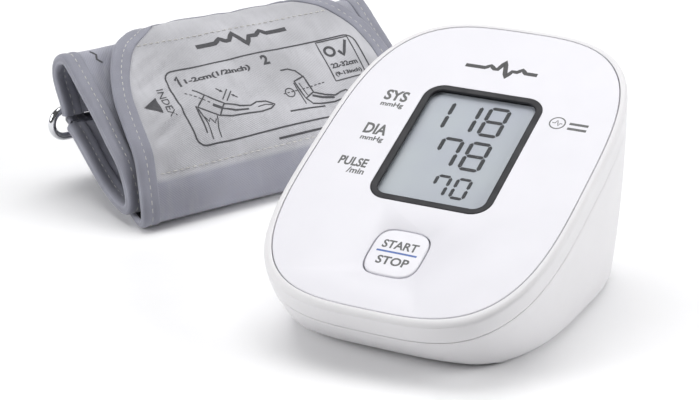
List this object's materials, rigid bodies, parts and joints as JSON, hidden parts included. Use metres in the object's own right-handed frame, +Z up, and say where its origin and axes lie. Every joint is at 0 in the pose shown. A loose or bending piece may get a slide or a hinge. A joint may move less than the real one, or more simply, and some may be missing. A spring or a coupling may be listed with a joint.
{
  "type": "upper arm blood pressure monitor",
  "caption": "Desk-top upper arm blood pressure monitor: a wedge-shaped white housing with a display and one start button, and its rolled fabric arm cuff beside it.",
  "frame": {"origin": "centre of the housing's underside, on the table", "axes": "+X to the user's right, +Y towards the back of the housing, +Z up; the display's face slopes up towards +Y"},
  "size_m": [0.2345, 0.2259, 0.0793],
  "materials": {
    "case_white": "fine matt moulded ABS",
    "panel_white": "glossy printed panel",
    "button_white": "satin",
    "bezel_grey": "satin dark grey",
    "window_clear": "clear polycarbonate",
    "lcd_glass": "grey reflective display",
    "inner_plastic": "plain moulded",
    "elastomer_pink": "striped elastomer",
    "board_green": "solder mask",
    "chip_black": "matt",
    "steel_bright": "plain",
    "pad_rubber": "matt",
    "cell_wrap": "plain sleeve",
    "magnet_grey": "sintered",
    "brass_bush": "turned",
    "copper_winding": "enamelled",
    "black_rubber": "matt",
    "foam_grey": "foam",
    "silicone": "soft",
    "jack_grey": "plain",
    "lead_red": "insulation",
    "lead_black": "insulation",
    "cuff_cloth": "woven nylon, light grey, printed",
    "cuff_lining": "soft pile, dark grey",
    "bladder_film": "polyurethane film",
    "cuff_tape": "ribbed bias tape",
    "hook_black": "hook tape",
    "ring_chrome": "polished",
    "port_grey": "moulded"
  },
  "bodies": {
    "monitor": {"lower_case": "case_white", "upper_case": "case_white", "face_panel": "panel_white", "display_bezel": "bezel_grey", "display_window": "window_clear", "lcd_panel": "lcd_glass", "lcd_holder": "inner_plastic", "lcd_connectors": "elastomer_pink", "main_board": "board_green", "board_chips": "chip_black", "pressure_sensor": "steel_bright", "tact_switch": "chip_black", "board_screws": "steel_bright", "case_screws": "steel_bright", "base_pads": "pad_rubber", "battery_cells": "cell_wrap", "battery_springs": "steel_bright", "battery_contacts": "steel_bright", "motor_can": "steel_bright", "motor_magnets": "magnet_grey", "motor_bearings": "brass_bush", "pump_housing": "inner_plastic", "pump_diaphragm": "black_rubber", "pump_lid": "inner_plastic", "pump_cushion": "foam_grey", "valve_yoke": "steel_bright", "valve_coil": "copper_winding", "valve_spring": "steel_bright", "valve_head": "inner_plastic", "valve_seal": "black_rubber", "air_manifold": "inner_plastic", "pump_tube": "silicone", "valve_tube": "silicone", "sensor_tube": "silicone", "air_jack": "jack_grey", "dc_jack": "chip_black", "motor_leads": "lead_red", "battery_leads": "lead_black"},
    "button": {"start_stop_button": "button_white", "switch_plunger": "inner_plastic"},
    "battery_door": {"battery_cover": "case_white"},
    "pump_rotor": {"motor_rotor": "copper_winding", "pump_crank": "inner_plastic"},
    "valve_core": {"valve_plunger": "steel_bright"},
    "cuff": {"cuff_cover": "cuff_cloth", "cuff_lining": "cuff_lining", "cuff_bladder": "bladder_film", "cuff_tube_binding": "cuff_tape", "cuff_tail": "cuff_cloth", "cuff_tail_binding": "cuff_tape", "cuff_hook_tape": "hook_black", "cuff_ring_loop": "cuff_tape", "bladder_port": "port_grey"},
    "ring": {"cuff_ring": "ring_chrome"}
  },
  "joints": [
    {"name": "button_press", "type": "slide", "parent": "monitor", "child": "button", "axis": [0, 0.4183, -0.9083], "range_m": [0, 0.0006], "stiffness_N_per_m": 2500, "springref_m": -0.0002},
    {"name": "battery_door_hinge", "type": "hinge", "parent": "monitor", "child": "battery_door", "pos_m": [0, 0.0216, 0.0012], "axis": [-1, 0, 0], "range_deg": [0, 85]},
    {"name": "pump_spin", "type": "hinge", "parent": "monitor", "child": "pump_rotor", "pos_m": [0.01, 0.002, 0.016], "axis": [1, 0, 0], "continuous": true},
    {"name": "valve_stroke", "type": "slide", "parent": "monitor", "child": "valve_core", "axis": [0, 0, 1], "range_m": [0, 0.0008], "stiffness_N_per_m": 300, "springref_m": -0.002, "deforming": ["valve_spring"]},
    {"name": "cuff_lift", "type": "slide", "parent": "monitor", "child": "cuff", "axis": [0, 0, 1], "range_m": [0, 0.15]},
    {"name": "ring_swing", "type": "hinge", "parent": "cuff", "child": "ring", "pos_m": [-0.14756, 0.09195, 0.031], "axis": [0.4617, 0.887, 0], "range_deg": [-7, 7]}
  ]
}
